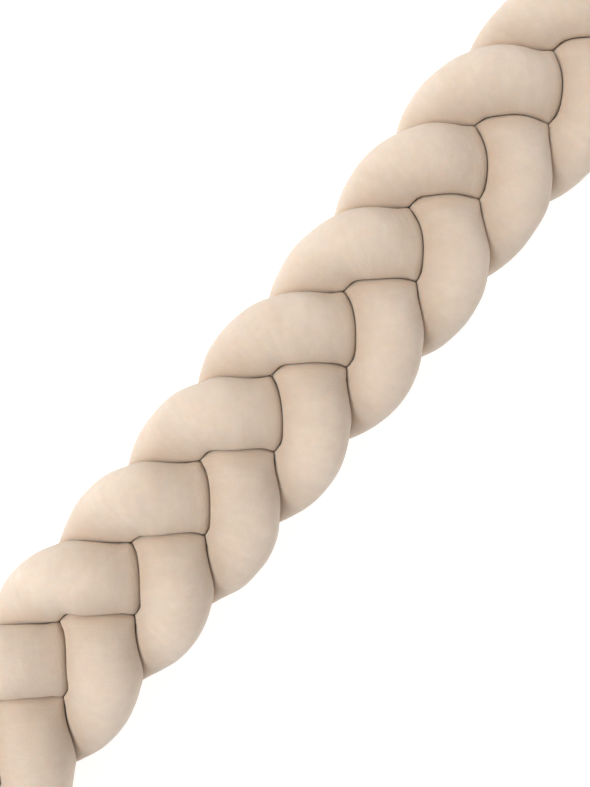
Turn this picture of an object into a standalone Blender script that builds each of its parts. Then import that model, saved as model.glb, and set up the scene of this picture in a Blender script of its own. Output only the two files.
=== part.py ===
"""Crib bumper: one flat plait of three stuffed velour tubes, lying on the surface it rests on.

Metres, +Z up. The plait runs along X, its width along Y. The origin is under its middle, on the surface.
Each tube is one closed solid. It runs on its own path through the plait and swells out from that path
until it meets its neighbours half-way, or the surface, where it lies flat.
"""

import math

import bmesh
import bpy
import numpy as np

# The plait as a whole
LENGTH = 2.00  # end to end
LOBE_PITCH = 0.0925  # from one lobe to the next along either edge
TUBES = ("tube_a", "tube_b", "tube_c")
TURN = len(TUBES) * LOBE_PITCH  # one full way of a tube, edge to edge and back

# The path of a tube through the plait, as waves of its turn
SIDE_SWING = 0.0526  # from the midline to the tube's centre at an edge
SIDE_SQUARING = -0.0016
RISE = 0.0231  # from the middle layer to the tube's centre, where it passes over another
RISE_SQUARING = 0.0014
SLIP_TWICE = -0.0055  # along the plait: how unevenly a tube runs from one edge to the other
SLIP_FOUR = 0.0029
LEAN = -0.067  # the plait is pulled askew, this much along for each metre across

# How unevenly it was plaited and lies, as gentle waves: length along the plait, size, start as a share
SLIP_WAVES = ((0.65, 0.0011, 0.28), (0.42, 0.0029, -0.08))
SIDE_WAVES = ((1.30, 0.0113, 0.25), (0.65, 0.0068, -0.27), (0.30, 0.0019, 0.26))
SIDE_CENTRING = 0.0038

# The filled tube
TUBE_RADIUS = 0.0250
FLATTENING = 1.165  # it is this much wider than it is thick
PLUMPNESS = 0.0113  # how far the filling swells in to the hollows between the tubes
CREASE_ROUNDING = 0.003  # how softly a tube turns in to a crease
GAP = 0.0030  # between two tubes, with room for their facets
SURFACE_DENT = 0.0035  # how far the plait's weight flattens the lobes that it lies on

# The ends, where the tubes are drawn in and sewn shut
END_TAPER = 0.17
END_SHARE = 0.50  # of the full size, at the very end
END_REACH = 0.0174  # of a round end past its path
PATH_END = LENGTH / 2 - END_REACH

# How finely the solids are made
RINGS_PER_TURN = 24  # a multiple of 12
DOME_RINGS = 4
SIDES = 14
PATH_STEPS_PER_TURN = 120
RING_START = 0.5  # of a side: this puts a point of a ring near each corner where three tubes meet
RING_TURN = 0.70  # how far a ring turns with its path, sideways and up: less keeps rings apart
RING_TILT = 0.45

VELOUR = (0.76, 0.62, 0.49)


def smooth_step(share):
    share = np.clip(share, 0, 1)
    return share * share * (3 - 2 * share)


def waves(table, along):
    """The sum of gentle waves along the plait."""
    return sum(size * np.sin(2 * math.pi * (along / length + start)) for length, size, start in table)


def end_share(along):
    """The size of the plait at a place along it: 1, and less within END_TAPER of an end."""
    return END_SHARE + (1 - END_SHARE) * smooth_step((PATH_END - np.abs(along)) / END_TAPER)


def tube_centres(tube, along):
    """The centre of a tube for places along the plait, a row of x, y, z each."""
    phase = 2 * math.pi * (along - tube * LOBE_PITCH) / TURN
    across = SIDE_SWING * np.sin(phase) + SIDE_SQUARING * np.sin(3 * phase)
    above = -RISE * np.sin(2 * phase) - RISE_SQUARING * np.sin(4 * phase)
    slip = SLIP_TWICE * np.sin(2 * phase) + SLIP_FOUR * np.sin(4 * phase) + LEAN * across
    slip = slip + waves(SLIP_WAVES, along)
    middle = RISE + TUBE_RADIUS / FLATTENING - SURFACE_DENT
    share = end_share(along)
    fade = (share - END_SHARE) / (1 - END_SHARE)
    x = along + slip * fade
    y = waves(SIDE_WAVES, along) + SIDE_CENTRING - across * share
    return np.stack([x, y, (middle + above) * share], axis=1)


class TubePath:
    """The centre line of one tube, with its free radius, as closely spaced steps."""

    def __init__(self, tube):
        steps = round(2 * PATH_END / TURN * PATH_STEPS_PER_TURN)
        self.along = np.linspace(-PATH_END, PATH_END, steps + 1)
        self.centres = tube_centres(tube, self.along)
        self.radii = TUBE_RADIUS * end_share(self.along)
        self.reach = round(2.2 * TUBE_RADIUS / TURN * PATH_STEPS_PER_TURN)

    def outside(self, points):
        """How far points are outside this tube's free surface, negative inside it."""
        nearest = np.searchsorted(self.along, points[:, 0])
        around = nearest[:, None] + np.arange(-self.reach, self.reach + 1)
        around = np.clip(around, 0, len(self.centres) - 1)
        away = points[:, None, :] - self.centres[around]
        away[:, :, 2] *= FLATTENING
        return (np.linalg.norm(away, axis=2) - self.radii[around]).min(axis=1)

    def ring_frames(self, along):
        """For rings at places along the plait: their centres, and the ways ahead, left and up."""
        centres = np.stack([np.interp(along, self.along, axis) for axis in self.centres.T], axis=1)
        ahead = np.gradient(self.centres, self.along, axis=0) * (1, RING_TURN, RING_TILT)
        ahead = np.stack([np.interp(along, self.along, axis) for axis in ahead.T], axis=1)
        ahead /= np.linalg.norm(ahead, axis=1)[:, None]
        left = np.cross((0, 0, 1), ahead)
        left /= np.linalg.norm(left, axis=1)[:, None]
        return centres, ahead, left, np.cross(ahead, left)


def meet(first, second):
    """The larger of two distances, rounded off where they are nearly the same."""
    near = np.clip(1 - np.abs(first - second) / CREASE_ROUNDING, 0, 1)
    return np.maximum(first, second) + near * near * CREASE_ROUNDING / 4


def outside_tube(points, own, others):
    """How far points are outside a tube that is pressed by the others and by the surface."""
    free = own.outside(points)
    beside = [other.outside(points) for other in others]
    fullness = 1 + sum(np.exp((free - clear) / PLUMPNESS) for clear in beside)
    past_half_way = (free - np.minimum(*beside) + GAP) / 2
    outside = meet(free - PLUMPNESS * np.log(fullness), past_half_way)
    return np.maximum(outside, -points[:, 2])


def ring_places():
    """The rings' places along the plait, and how far each leans forward: the last ones make a dome.

    The rings are counted from the middle, so that some pass each corner where three tubes meet.
    """
    spacing = TURN / RINGS_PER_TURN
    half = math.floor(PATH_END / spacing - 0.5)
    lean = np.linspace(0, math.pi / 2, DOME_RINGS + 1)
    ends = np.full(DOME_RINGS + 1, PATH_END)
    along = np.concatenate([-ends, spacing * np.arange(-half, half + 1), ends])
    return along, np.concatenate([-lean[::-1], np.zeros(2 * half + 1), lean])


def swollen_rings(own, others):
    """The tube's surface as rings of points, each as far from the path as the tube can swell."""
    along, lean = ring_places()
    centres, ahead, left, up = own.ring_frames(along)
    angle = 2 * math.pi * (RING_START + np.arange(SIDES + 1)[:, None]) / SIDES
    around = left[:, None] * np.cos(angle) + up[:, None] * np.sin(angle)
    outward = around * np.cos(lean)[:, None, None] + (ahead * np.sin(lean)[:, None])[:, None]
    start = np.broadcast_to(centres[:, None], outward.shape).reshape(-1, 3)
    outward = outward.reshape(-1, 3)
    near = np.zeros(len(start))
    far = np.full(len(start), 2 * TUBE_RADIUS)
    for _ in range(24):
        middle = (near + far) / 2
        beyond = outside_tube(start + outward * middle[:, None], own, others) > 0
        near = np.where(beyond, near, middle)
        far = np.where(beyond, middle, far)
    points = start + outward * near[:, None]
    return points.reshape(len(centres), SIDES + 1, 3)


def best_diagonals(rings, own, others):
    """For each quad between the rings, whether its rising diagonal is the one nearer the true surface."""
    rising = (rings[:-1, :-1] + rings[1:, 1:]) / 2
    falling = (rings[1:, :-1] + rings[:-1, 1:]) / 2
    rising_off = np.abs(outside_tube(rising.reshape(-1, 3), own, others))
    falling_off = np.abs(outside_tube(falling.reshape(-1, 3), own, others))
    return (rising_off <= falling_off).reshape(rising.shape[:2])


def tube_mesh(name, rings, rising):
    """A grid laid round the rings, its two long edges joined and its ends closed to points."""
    bm = bmesh.new()
    bmesh.ops.create_grid(bm, x_segments=len(rings) - 1, y_segments=SIDES, size=1)
    place = {}
    for vert in bm.verts:
        ring = round((vert.co.x + 1) / 2 * (len(rings) - 1))
        side = round((vert.co.y + 1) / 2 * SIDES)
        place[vert] = (ring, side)
        vert.co = rings[ring, side]
    for face in list(bm.faces):
        corners = sorted(face.verts, key=place.get)
        ends = (corners[0], corners[3]) if rising[place[corners[0]]] else (corners[1], corners[2])
        bmesh.utils.face_split(face, *ends)
    bmesh.ops.remove_doubles(bm, verts=bm.verts, dist=1e-5)
    bmesh.ops.recalc_face_normals(bm, faces=bm.faces)
    mesh = bpy.data.meshes.new(name)
    bm.to_mesh(mesh)
    bm.free()
    mesh.shade_smooth()
    return mesh


def velour_material():
    """Short-piled velour: a matt warm beige."""
    material = bpy.data.materials.new("velour")
    material.use_nodes = True
    surface = material.node_tree.nodes["Principled BSDF"]
    surface.inputs["Base Color"].default_value = (*VELOUR, 1)
    surface.inputs["Roughness"].default_value = 0.95
    surface.inputs["Metallic"].default_value = 0
    return material


def clear_scene():
    for item in list(bpy.data.objects):
        bpy.data.objects.remove(item)


def main():
    clear_scene()
    velour = velour_material()
    paths = [TubePath(tube) for tube in range(len(TUBES))]
    for name, own in zip(TUBES, paths):
        others = [path for path in paths if path is not own]
        rings = swollen_rings(own, others)
        mesh = tube_mesh(name, rings, best_diagonals(rings, own, others))
        mesh.materials.append(velour)
        bpy.context.collection.objects.link(bpy.data.objects.new(name, mesh))


if __name__ == "__main__":
    main()
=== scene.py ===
"""Braided crib bumper: three stuffed tubes of cotton velour in a flat plait, on a pale backlit floor.

Metres, +Z up. The plait runs along X and lies on the floor. Each tube follows its own path through the
plait and swells out from it until it meets its neighbours half-way, or the floor, as filling in a soft
cover does.
"""

import math

import bmesh
import bpy
import numpy as np
from bpy.props import FloatProperty, FloatVectorProperty, PointerProperty
from mathutils import Matrix, Vector


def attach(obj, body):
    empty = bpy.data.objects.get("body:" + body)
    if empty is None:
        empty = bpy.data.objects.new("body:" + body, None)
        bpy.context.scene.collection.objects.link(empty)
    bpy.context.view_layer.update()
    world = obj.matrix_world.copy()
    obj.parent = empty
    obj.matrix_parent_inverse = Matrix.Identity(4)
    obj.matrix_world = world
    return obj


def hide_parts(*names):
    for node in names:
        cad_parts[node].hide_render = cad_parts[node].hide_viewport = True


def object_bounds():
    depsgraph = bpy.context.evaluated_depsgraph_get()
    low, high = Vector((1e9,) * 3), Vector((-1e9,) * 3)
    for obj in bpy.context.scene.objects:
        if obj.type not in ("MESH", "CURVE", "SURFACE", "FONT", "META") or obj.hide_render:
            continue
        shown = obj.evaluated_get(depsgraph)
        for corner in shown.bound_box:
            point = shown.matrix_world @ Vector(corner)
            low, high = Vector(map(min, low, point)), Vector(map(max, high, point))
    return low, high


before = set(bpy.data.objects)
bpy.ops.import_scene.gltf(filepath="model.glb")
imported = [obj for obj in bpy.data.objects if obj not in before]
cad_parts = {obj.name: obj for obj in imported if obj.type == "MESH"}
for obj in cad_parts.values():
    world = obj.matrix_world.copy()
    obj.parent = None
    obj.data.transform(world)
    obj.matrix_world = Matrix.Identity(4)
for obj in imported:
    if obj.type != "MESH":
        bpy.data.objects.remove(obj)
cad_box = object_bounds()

bl_info = {
    "name": "Braided crib bumper",
    "version": (1, 0, 0),
    "blender": (4, 5, 0),
    "location": "3D View > Sidebar > Crib bumper",
    "description": "A flat plait of three stuffed velour tubes, with a pale backlit studio floor",
    "category": "Add Mesh",
}

TUBES = sorted(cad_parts)
CAD_LENGTH = round(cad_box[1].x - cad_box[0].x, 3)

# How unevenly it was plaited and lies, as gentle waves: length along the plait, size, start as a share
SLIP_WAVES = ((0.65, 0.0011, 0.28), (0.42, 0.0029, -0.08))
SIDE_WAVES = ((1.30, 0.0113, 0.25), (0.65, 0.0068, -0.27), (0.30, 0.0019, 0.26))
SIDE_CENTRING = 0.0038  # puts the middle of its box on the midline

# The ends, where the tubes are drawn in and closed round
END_TAPER = 0.17  # length of the plait over which they are drawn in
END_SHARE = 0.50  # of the full size, at the very end
END_REACH = 0.0174  # of a round end past its path

# How finely the covers are made
RINGS_PER_TURN = 144
DOME_RINGS = 16
SIDES = 88
PATH_STEPS_PER_TURN = 72
NEAR_RADII = 2.2  # the part of a path that can be nearest to a point, in tube radii either way
SOLVER_STEPS = 10  # of a search for the surface, to about a fiftieth of a millimetre
RING_TURN = 0.70  # how far a ring turns with its path, sideways and up: less keeps rings apart
RING_TILT = 0.45
SAME_PLACE = 0.00001  # points nearer to each other than this are made one

# The lumps of filling that are felt through a cover, as waves that run all ways
LUMP_WAVES = 10
LUMP_LENGTHS = (0.026, 0.060)  # the shortest and the longest

# The creases between the tubes
PAINTED_SHADE_REACH = 0.022  # of the painted shade beside a crease, to where it is a third as strong
CORNER_REACH = 0.010  # creases turn in more sharply this near a corner where three tubes meet
CORNER_ROUNDING = 0.7  # of the rounding elsewhere, at such a corner

# The patterns of the pile: the real size of what each one shows
NAP_SIZE = 0.060  # a patch where the pile lies one way
MOTTLE_SIZE = 0.007  # a spot of slightly paler or deeper pile
MARK_SIZE = (0.030, 0.030, 0.007)  # a mark from packing: across the tube, both ways, then along it
TIP_SIZE = 0.0016  # real tips of pile are well under a millimetre, and are drawn this coarse to show
LIE_RANGE = (0.75, 1.25)  # from one colour to the other, of the patterns' sum, which averages 1
MARK_RANGE = (0.30, 0.48)  # from the bottom of a packing mark to its rim
COLOUR_A, COLOUR_B, COLOUR_OUT = 6, 7, 2  # the colour sockets of a Mix node

# The photograph: its size in pixels, and how it was taken
PHOTO_SIZE = (590, 787)
PHOTO_MIDDLE = (0.0251, 0.0038 + SIDE_CENTRING, 0.06)  # the point in the middle of the picture
MM_PER_PIXEL = 0.853  # at that point
PHOTO_TURN = 50.24  # degrees clockwise from the plait's length to the picture's right
TIP_UP = 3.16  # degrees that the camera stands off the vertical, towards the picture's top
TIP_LEFT = 4.97  # and towards its left

# The studio: places are right and up as in the photograph, then above the floor
KEY_PLACE = (-3.0, 0.5, 4.0)
KEY_SIZE = 1.2
FILL_PLACE = (1.8, -0.6, 1.9)
FILL_SIZE = 2.0
FLOOR_REACH = 15  # from the middle of the plait to the panel's edges
SIGHT = 50  # as far as the camera sees


def colour(hex_code):
    """An sRGB colour such as "d7c8b8" as linear red, green, blue and alpha."""
    parts = [int(hex_code[start:start + 2], 16) / 255 for start in (0, 2, 4)]
    return [part / 12.92 if part <= 0.04045 else ((part + 0.055) / 1.055) ** 2.4 for part in parts] + [1]


class PlaitShape(bpy.types.PropertyGroup):
    """Sizes of the plait and of its filled tubes."""

    length: FloatProperty(
        name="Length", description="End to end", default=CAD_LENGTH, min=0.5, unit="LENGTH")
    lobe_pitch: FloatProperty(
        name="Lobe pitch", description="From one lobe to the next along either edge",
        default=0.0925, min=0.02, unit="LENGTH")
    side_swing: FloatProperty(
        name="Side swing", description="From the midline to a tube's centre at an edge",
        default=0.0526, unit="LENGTH")
    side_squaring: FloatProperty(
        name="Side squaring", description="How much fuller the turns at the edges are",
        default=-0.0016, unit="LENGTH")
    rise: FloatProperty(
        name="Rise", description="From the middle layer to a tube's centre where it passes over another",
        default=0.0231, unit="LENGTH")
    rise_squaring: FloatProperty(
        name="Rise squaring", description="How much fuller the humps over the crossings are",
        default=0.0014, unit="LENGTH")
    slip_twice: FloatProperty(
        name="Slip, twice a turn", description="How unevenly a tube runs along, between its edges",
        default=-0.0055, unit="LENGTH")
    slip_four: FloatProperty(
        name="Slip, four times a turn", description="How unevenly a tube runs along, between its crossings",
        default=0.0029, unit="LENGTH")
    lean: FloatProperty(
        name="Lean", description="How far the plait is pulled askew along, for each metre across",
        default=-0.067)
    tube_radius: FloatProperty(
        name="Tube radius", description="Of a tube where nothing presses on it",
        default=0.0250, unit="LENGTH")
    flattening: FloatProperty(
        name="Flattening", description="How many times wider than thick a tube is", default=1.165, min=0.5)
    plumpness: FloatProperty(
        name="Plumpness", description="How far the filling swells in to the hollows between the tubes",
        default=0.0113, min=0.001, unit="LENGTH")
    crease_rounding: FloatProperty(
        name="Crease rounding", description="How softly a tube turns in to a crease",
        default=0.0042, min=0.001, unit="LENGTH")
    gap: FloatProperty(
        name="Gap", description="Between two tubes where they touch", default=0.0002, unit="LENGTH")
    lumpiness: FloatProperty(
        name="Lumpiness", description="How much the filling's lumps raise and lower the cover",
        default=0.00035, min=0, unit="LENGTH")
    floor_dent: FloatProperty(
        name="Floor dent", description="How far the plait's weight flattens the lobes that it lies on",
        default=0.0035, unit="LENGTH")


class VelourFinish(bpy.types.PropertyGroup):
    """Colours and pile of the cotton velour."""

    pile: FloatVectorProperty(
        name="Pile", description="Colour of the pile seen from above", subtype="COLOR", size=4,
        default=colour("d7c8b8"), min=0, max=1)
    brushed: FloatVectorProperty(
        name="Brushed pile", description="Colour where the pile lies the other way", subtype="COLOR", size=4,
        default=colour("ccbcac"), min=0, max=1)
    # Painted shade: a deep brown mixed in beside the creases, where the tubes shade each other, and how much
    # of it
    painted_crease_shade: FloatVectorProperty(
        name="Crushed pile", description="Colour of the pile that the tubes crush against each other",
        subtype="COLOR", size=4, default=colour("9a7c62"), min=0, max=1)
    crease_shade_strength: FloatProperty(
        name="Crushing", description="How much of that colour shows in the creases",
        default=0.52, min=0, max=1)
    pile_depth: FloatProperty(
        name="Pile depth", description="How uneven the tips of the pile are", default=0.00025, unit="LENGTH")
    mark_depth: FloatProperty(
        name="Mark depth", description="Of the short marks that packing has pressed in to the pile",
        default=0.00015, unit="LENGTH")


class StudioSettings(bpy.types.PropertyGroup):
    """The floor, the lights and the camera's distance."""

    floor: FloatVectorProperty(
        name="Floor", description="Colour of the backlit panel that the bumper lies on",
        subtype="COLOR", size=4, default=colour("bdbdbc"), min=0, max=1)
    floor_glow: FloatProperty(
        name="Floor glow", description="How brightly the panel is lit from behind, so that no shadow shows",
        default=0.70, min=0)
    key_power: FloatProperty(
        name="Key light", description="Power of the softbox at the left", default=160, unit="POWER")
    fill_power: FloatProperty(
        name="Fill light", description="Power of the softbox at the right", default=6, unit="POWER")
    room_light: FloatProperty(
        name="Room light", description="Brightness of the white room all round", default=0.64)
    camera_height: FloatProperty(
        name="Camera distance", description="From the camera to the middle of the picture",
        default=0.81, unit="LENGTH")


def smooth_step(share):
    """From 0 to 1 with a gentle start and end."""
    share = np.clip(share, 0, 1)
    return share * share * (3 - 2 * share)


def add_up(waves, along):
    """The sum of gentle waves at places along the plait."""
    return sum(size * np.sin(2 * math.pi * (along / length + start)) for length, size, start in waves)


class TubePath:
    """The centre line of one tube through the plait, with its free radius, as closely spaced steps.

    Its share at a step is how much of its full size the tube has there, which is less near the ends.
    """

    def __init__(self, tube, shape):
        self.shape = shape
        self.turn = len(TUBES) * shape.lobe_pitch
        self.end = shape.length / 2 - END_REACH
        steps = round(2 * self.end / self.turn * PATH_STEPS_PER_TURN)
        self.along = np.linspace(-self.end, self.end, steps + 1)
        self.phase = 2 * math.pi * (self.along - tube * shape.lobe_pitch) / self.turn
        self.share = END_SHARE + (1 - END_SHARE) * smooth_step((self.end - np.abs(self.along)) / END_TAPER)
        self.centres = self.find_centres()
        self.radii = shape.tube_radius * self.share
        self.reach = round(NEAR_RADII * shape.tube_radius / self.turn * PATH_STEPS_PER_TURN)
        random = np.random.default_rng(tube)
        ways = random.normal(size=(3, LUMP_WAVES))
        lengths = random.uniform(*LUMP_LENGTHS, LUMP_WAVES)
        self.lump_ways = 2 * math.pi * ways / np.linalg.norm(ways, axis=0) / lengths
        self.lump_starts = random.uniform(0, 2 * math.pi, LUMP_WAVES)

    def find_centres(self):
        """The steps' points: the tube swings to both edges once a turn, and rises over another one twice."""
        shape = self.shape
        across = shape.side_swing * np.sin(self.phase) + shape.side_squaring * np.sin(3 * self.phase)
        above = -shape.rise * np.sin(2 * self.phase) - shape.rise_squaring * np.sin(4 * self.phase)
        slip = shape.slip_twice * np.sin(2 * self.phase) + shape.slip_four * np.sin(4 * self.phase)
        slip = slip + shape.lean * across + add_up(SLIP_WAVES, self.along)
        middle = shape.rise + shape.tube_radius / shape.flattening - shape.floor_dent
        x = self.along + slip * (self.share - END_SHARE) / (1 - END_SHARE)
        y = add_up(SIDE_WAVES, self.along) + SIDE_CENTRING - across * self.share
        return np.stack([x, y, (middle + above) * self.share], axis=1)

    def outside(self, points):
        """How far points are outside this tube's free surface, negative inside it.

        The least distance to a step of the path is taken, and the least of a parabola through it and the
        steps on either side.
        """
        nearest = np.searchsorted(self.along, points[:, 0])
        around = nearest[:, None] + np.arange(-self.reach, self.reach + 1)
        around = np.clip(around, 0, len(self.centres) - 1)
        away = points[:, None, :] - self.centres[around]
        away[:, :, 2] *= self.shape.flattening
        away = np.sqrt(np.einsum("psa,psa->ps", away, away)) - self.radii[around]
        step = np.clip(away.argmin(axis=1), 1, 2 * self.reach - 1)[:, None]
        before, least, after = np.take_along_axis(away, step + np.array([-1, 0, 1]), axis=1).T
        bend = np.maximum(before + after - 2 * least, 1e-6)
        least = least - np.minimum((after - before) ** 2 / (8 * bend), np.abs(after - before) / 4)
        lumps = np.sin(points @ self.lump_ways + self.lump_starts).sum(axis=1) * math.sqrt(2 / LUMP_WAVES)
        return least - self.shape.lumpiness * lumps

    def ring_frames(self, along):
        """For rings at places along the plait: their centres, and the ways ahead, left and up."""
        centres = np.stack([np.interp(along, self.along, axis) for axis in self.centres.T], axis=1)
        ahead = np.gradient(self.centres, self.along, axis=0) * (1, RING_TURN, RING_TILT)
        ahead = np.stack([np.interp(along, self.along, axis) for axis in ahead.T], axis=1)
        ahead /= np.linalg.norm(ahead, axis=1)[:, None]
        left = np.cross((0, 0, 1), ahead)
        left /= np.linalg.norm(left, axis=1)[:, None]
        return centres, ahead, left, np.cross(ahead, left)


def outside_tube(points, own, others):
    """How far points are outside a tube that is pressed by the others and by the floor.

    The filling swells in to the hollows beside the other tubes, as far as half-way to them, less the gap,
    and the cover turns in to a crease with a small rounding.
    """
    shape = own.shape
    free = own.outside(points)
    beside = [other.outside(points) for other in others]
    fullness = 1 + sum(np.exp((free - clear) / shape.plumpness) for clear in beside)
    swollen = free - shape.plumpness * np.log(fullness)
    past_half_way = (free - np.minimum(*beside) + shape.gap) / 2
    off_corner = np.abs(beside[0] - beside[1]) / CORNER_REACH
    rounding = shape.crease_rounding * np.clip(off_corner, CORNER_ROUNDING, 1)
    edge = np.clip(1 - np.abs(swollen - past_half_way) / rounding, 0, 1)
    outside = np.maximum(swollen, past_half_way) + edge * edge * rounding / 4
    return np.maximum(outside, -points[:, 2])


def ring_places(own):
    """The rings' places along the plait, and how far each leans forward: the last ones make a dome."""
    spacing = own.turn / RINGS_PER_TURN
    half = math.floor(own.end / spacing - 0.5)
    lean = np.linspace(0, math.pi / 2, DOME_RINGS + 1)
    ends = np.full(DOME_RINGS + 1, own.end)
    along = np.concatenate([-ends, spacing * np.arange(-half, half + 1), ends])
    return along, np.concatenate([-lean[::-1], np.zeros(2 * half + 1), lean])


def painted_crease_shade(points, own, others):
    """Painted shade beside the creases at points of the tube: 1 where another tube presses on it, and less
    further off.
    """
    away = np.minimum(*[other.outside(points) for other in others]) - own.outside(points)
    return np.exp(-np.maximum(away, 0) / PAINTED_SHADE_REACH)


def swollen_rings(own, others):
    """The tube's surface as rings of points, and how much painted shade each point gets beside the creases.

    Each point is as far from the path as the tube can swell. It is searched for between a near and a far
    place by false position, where the value at a place that stays is halved.
    """
    along, lean = ring_places(own)
    centres, ahead, left, up = own.ring_frames(along)
    angle = 2 * math.pi * np.arange(SIDES + 1)[:, None] / SIDES
    around = left[:, None] * np.cos(angle) + up[:, None] * np.sin(angle)
    outward = around * np.cos(lean)[:, None, None] + (ahead * np.sin(lean)[:, None])[:, None]
    start = np.broadcast_to(centres[:, None], outward.shape).reshape(-1, 3)
    outward = outward.reshape(-1, 3)
    near = np.zeros(len(start))
    far = np.full(len(start), 2 * own.shape.tube_radius)
    at_near = outside_tube(start, own, others)
    at_far = outside_tube(start + outward * far[:, None], own, others)
    for _ in range(SOLVER_STEPS):
        middle = (near * at_far - far * at_near) / (at_far - at_near)
        at_middle = outside_tube(start + outward * middle[:, None], own, others)
        beyond = at_middle > 0
        near, at_near = np.where(beyond, (near, at_near / 2), (middle, at_middle))
        far, at_far = np.where(beyond, (middle, at_middle), (far, at_far / 2))
    points = start + outward * middle[:, None]
    grid = (len(centres), SIDES + 1)
    return points.reshape(*grid, 3), painted_crease_shade(points, own, others).reshape(grid)


def cover_mesh(name, rings, crush):
    """A grid laid round the rings, its two long edges joined and its ends closed.

    Its attribute "on_cloth" is each point's place on the cloth of a straight round tube, in metres, and the
    other attribute is the painted shade beside the creases, given in crush.
    """
    bm = bmesh.new()
    on_cloth = bm.verts.layers.float_vector.new("on_cloth")
    painted_shade_layer = bm.verts.layers.float.new("painted_crease_shade")
    bmesh.ops.create_grid(bm, x_segments=len(rings) - 1, y_segments=SIDES, size=1)
    middles = rings.mean(axis=1)
    run = np.concatenate([[0], np.cumsum(np.linalg.norm(np.diff(middles, axis=0), axis=1))])
    radius = np.linalg.norm(rings - middles[:, None], axis=2).mean()
    for vert in bm.verts:
        ring = round((vert.co.x + 1) / 2 * (len(rings) - 1))
        side = round((vert.co.y + 1) / 2 * SIDES)
        vert.co = rings[ring, side]
        angle = 2 * math.pi * side / SIDES
        vert[on_cloth] = (radius * math.cos(angle), radius * math.sin(angle), run[ring])
        vert[painted_shade_layer] = crush[ring, side]
    bmesh.ops.remove_doubles(bm, verts=bm.verts, dist=SAME_PLACE)
    bmesh.ops.recalc_face_normals(bm, faces=bm.faces)
    mesh = bpy.data.meshes.new(name)
    bm.to_mesh(mesh)
    bm.free()
    mesh.shade_smooth()
    return mesh


def add_node(owner, kind, settings=None, inputs=None):
    """Adds one node to a material or world; an input is given a value, or the output that feeds it."""
    node = owner.node_tree.nodes.new("ShaderNode" + kind)
    for name, value in (settings or {}).items():
        setattr(node, name, value)
    for name, value in (inputs or {}).items():
        if isinstance(value, bpy.types.NodeSocket):
            owner.node_tree.links.new(value, node.inputs[name])
        else:
            node.inputs[name].default_value = value
    return node


def new_material(name):
    """A material with its shader and output nodes only."""
    material = bpy.data.materials.new(name)
    material.use_nodes = True
    return material, material.node_tree.nodes["Principled BSDF"]


def cotton_velour(finish):
    """Cotton velour: short dense pile that scatters light softly, a little paler or deeper as the pile lies.

    Painted shade deepens it beside the creases, and short marks across the tube show where
    packing has pressed it.
    """
    material, surface = new_material("cotton_velour")
    place = add_node(material, "TexCoord").outputs["Object"]
    on_cloth = add_node(material, "Attribute", {"attribute_name": "on_cloth"}).outputs["Vector"]

    # How the pile lies: the mottle and the packing marks count half as much as the nap
    nap = add_node(material, "TexNoise", None, {"Vector": place, "Scale": 1 / NAP_SIZE, "Detail": 2})
    mottle = add_node(material, "TexNoise", None, {"Vector": place, "Scale": 1 / MOTTLE_SIZE, "Detail": 4})
    packing = add_node(material, "Mapping", None, {
        "Vector": on_cloth, "Scale": [1 / size for size in MARK_SIZE]})
    packing = add_node(material, "TexNoise", None, {
        "Vector": packing.outputs["Vector"], "Scale": 1, "Detail": 2})
    lie = add_node(material, "Math", {"operation": "MULTIPLY_ADD"}, {
        0: mottle.outputs["Fac"], 1: 0.5, 2: nap.outputs["Fac"]})
    lie = add_node(material, "Math", {"operation": "MULTIPLY_ADD"}, {
        0: packing.outputs["Fac"], 1: 0.5, 2: lie.outputs["Value"]})
    lie = add_node(material, "MapRange", None, {
        "Value": lie.outputs["Value"], "From Min": LIE_RANGE[0], "From Max": LIE_RANGE[1]})
    pile = add_node(material, "Mix", {"data_type": "RGBA"}, {
        "Factor": lie.outputs["Result"], COLOUR_A: list(finish.pile), COLOUR_B: list(finish.brushed)})

    # Painted shade: its colour deepens beside the creases, where the tubes shade each other
    beside = add_node(material, "Attribute", {"attribute_name": "painted_crease_shade"}).outputs["Fac"]
    share = add_node(material, "Math", {"operation": "MULTIPLY"}, {0: beside, 1: finish.crease_shade_strength})
    pile = add_node(material, "Mix", {"data_type": "RGBA"}, {
        "Factor": share.outputs["Value"], COLOUR_A: pile.outputs[COLOUR_OUT],
        COLOUR_B: list(finish.painted_crease_shade)})
    material.node_tree.links.new(pile.outputs[COLOUR_OUT], surface.inputs["Base Color"])

    # Its tips are uneven, and the packing marks are pressed in to them
    tips = add_node(material, "TexNoise", None, {"Vector": place, "Scale": 1 / TIP_SIZE, "Detail": 2})
    bumps = add_node(material, "Bump", None, {
        "Height": tips.outputs["Fac"], "Strength": 1, "Distance": finish.pile_depth})
    marks = add_node(material, "MapRange", None, {
        "Value": packing.outputs["Fac"], "From Min": MARK_RANGE[0], "From Max": MARK_RANGE[1]})
    bumps = add_node(material, "Bump", None, {
        "Height": marks.outputs["Result"], "Strength": 1, "Distance": finish.mark_depth,
        "Normal": bumps.outputs["Normal"]})
    material.node_tree.links.new(bumps.outputs["Normal"], surface.inputs["Normal"])

    surface.inputs["Roughness"].default_value = 0.95
    surface.inputs["Specular IOR Level"].default_value = 0.2
    surface.inputs["Sheen Weight"].default_value = 0.04
    surface.inputs["Sheen Roughness"].default_value = 0.6
    surface.inputs["Subsurface Weight"].default_value = 0.9
    surface.inputs["Subsurface Radius"].default_value = (1, 0.6, 0.4)
    surface.inputs["Subsurface Scale"].default_value = 0.012
    return material


def make_tube(name, own, others, velour):
    """One stuffed tube, in the place of its CAD solid."""
    mesh = cover_mesh(name + "_cover", *swollen_rings(own, others))
    cover = bpy.data.objects.new(name + "_cover", mesh)
    bpy.context.collection.objects.link(cover)
    cover.data.materials.append(velour)
    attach(cover, "root")
    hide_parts(name)


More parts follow.
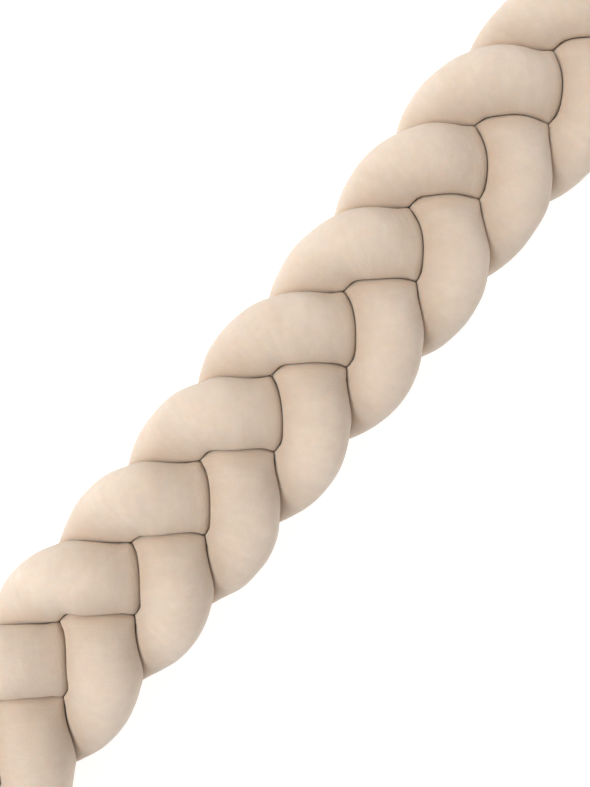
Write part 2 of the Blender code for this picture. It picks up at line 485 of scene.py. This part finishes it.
def photo_axes():
    """The photograph's right, up and back, as directions round the plait."""
    turn = math.radians(PHOTO_TURN)
    right = Vector((math.cos(turn), -math.sin(turn), 0))
    up = Vector((math.sin(turn), math.cos(turn), 0))
    back = Vector((0, 0, 1)) + math.tan(math.radians(TIP_UP)) * up
    back = back - math.tan(math.radians(TIP_LEFT)) * right
    back.normalize()
    right = (right - back * right.dot(back)).normalized()
    return right, back.cross(right), back


def add_camera(studio):
    """The photograph's view, with a lens that gives its scale at the point in the middle of the picture."""
    right, up, back = photo_axes()
    camera = bpy.data.cameras.new("camera")
    half_height = PHOTO_SIZE[1] / 2 * MM_PER_PIXEL / 1000
    camera.lens = camera.sensor_width / 2 * studio.camera_height / half_height
    camera.clip_end = SIGHT
    item = bpy.data.objects.new("camera", camera)
    bpy.context.collection.objects.link(item)
    place = Matrix((right, up, back)).transposed().to_4x4()
    place.translation = Vector(PHOTO_MIDDLE) + back * studio.camera_height
    item.matrix_world = place
    bpy.context.scene.camera = item


def add_softbox(name, place, size, power):
    """A square softbox that points at the middle of the plait."""
    right, up, _ = photo_axes()
    light = bpy.data.lights.new(name, "AREA")
    light.shape = "RECTANGLE"
    light.size = light.size_y = size
    light.energy = power
    item = bpy.data.objects.new(name, light)
    bpy.context.collection.objects.link(item)
    item.location = right * place[0] + up * place[1] + Vector((0, 0, place[2]))
    item.rotation_euler = item.location.to_track_quat("Z", "Y").to_euler()


def opal_acrylic(studio):
    """Opal acrylic, cast and matt: it spreads the light from behind evenly, so that no shadow shows."""
    material, surface = new_material("opal_acrylic")
    surface.inputs["Base Color"].default_value = studio.floor
    surface.inputs["Roughness"].default_value = 1
    surface.inputs["Specular IOR Level"].default_value = 0
    surface.inputs["Emission Color"].default_value = (1, 1, 1, 1)
    surface.inputs["Emission Strength"].default_value = studio.floor_glow
    return material


def add_floor(studio):
    """The backlit panel that the plait lies on."""
    bm = bmesh.new()
    bmesh.ops.create_grid(bm, x_segments=1, y_segments=1, size=FLOOR_REACH)
    mesh = bpy.data.meshes.new("floor")
    bm.to_mesh(mesh)
    bm.free()
    floor = bpy.data.objects.new("floor", mesh)
    bpy.context.collection.objects.link(floor)
    mesh.materials.append(opal_acrylic(studio))


def white_room(studio):
    """The room all round: it shows as pure white, and lights the plait less brightly than that."""
    world = bpy.data.worlds.new("white_room")
    world.use_nodes = True
    room = world.node_tree.nodes["Background"]
    room.inputs["Color"].default_value = (1, 1, 1, 1)
    seen = add_node(world, "LightPath").outputs["Is Camera Ray"]
    glow = add_node(world, "Math", {"operation": "MAXIMUM"}, {0: seen, 1: studio.room_light})
    world.node_tree.links.new(glow.outputs["Value"], room.inputs["Strength"])
    return world


class CribBumperTubes(bpy.types.Operator):
    """Make the three stuffed velour tubes, plaited together"""

    bl_idname = "crib_bumper.tubes"
    bl_label = "Plaited tubes"

    def execute(self, context):
        shape = context.scene.plait_shape
        velour = cotton_velour(context.scene.velour_finish)
        paths = [TubePath(tube, shape) for tube in range(len(TUBES))]
        for name, own in zip(TUBES, paths):
            make_tube(name, own, [path for path in paths if path is not own], velour)
        return {"FINISHED"}


class CribBumperStage(bpy.types.Operator):
    """Make the pale backlit floor, the soft lights, the white room and the camera"""

    bl_idname = "crib_bumper.stage"
    bl_label = "Studio"

    def execute(self, context):
        studio = context.scene.studio_settings
        add_floor(studio)
        add_camera(studio)
        add_softbox("key_softbox", KEY_PLACE, KEY_SIZE, studio.key_power)
        add_softbox("fill_softbox", FILL_PLACE, FILL_SIZE, studio.fill_power)
        context.scene.world = white_room(studio)
        context.scene.view_settings.view_transform = "Standard"
        return {"FINISHED"}


class CribBumperPanel(bpy.types.Panel):
    """Sizes, colours and buttons of the crib bumper"""

    bl_idname = "CRIB_BUMPER_PT_panel"
    bl_label = "Crib bumper"
    bl_space_type = "VIEW_3D"
    bl_region_type = "UI"
    bl_category = "Crib bumper"

    def draw(self, context):
        for group in SETTINGS:
            settings = getattr(context.scene, group)
            box = self.layout.box()
            for name in settings.__annotations__:
                box.prop(settings, name)
        for step in STEPS:
            self.layout.operator(step.bl_idname)


SETTINGS = {"plait_shape": PlaitShape, "velour_finish": VelourFinish, "studio_settings": StudioSettings}
STEPS = (CribBumperTubes, CribBumperStage)


def register():
    for item in (*SETTINGS.values(), *STEPS, CribBumperPanel):
        bpy.utils.register_class(item)
    for name, settings in SETTINGS.items():
        setattr(bpy.types.Scene, name, PointerProperty(type=settings))


def unregister():
    for name in SETTINGS:
        delattr(bpy.types.Scene, name)
    for item in (CribBumperPanel, *STEPS, *SETTINGS.values()):
        bpy.utils.unregister_class(item)


def main():
    """Makes the bumper and its studio."""
    register()
    bpy.ops.crib_bumper.tubes()
    bpy.ops.crib_bumper.stage()


if __name__ == "__main__":
    main()
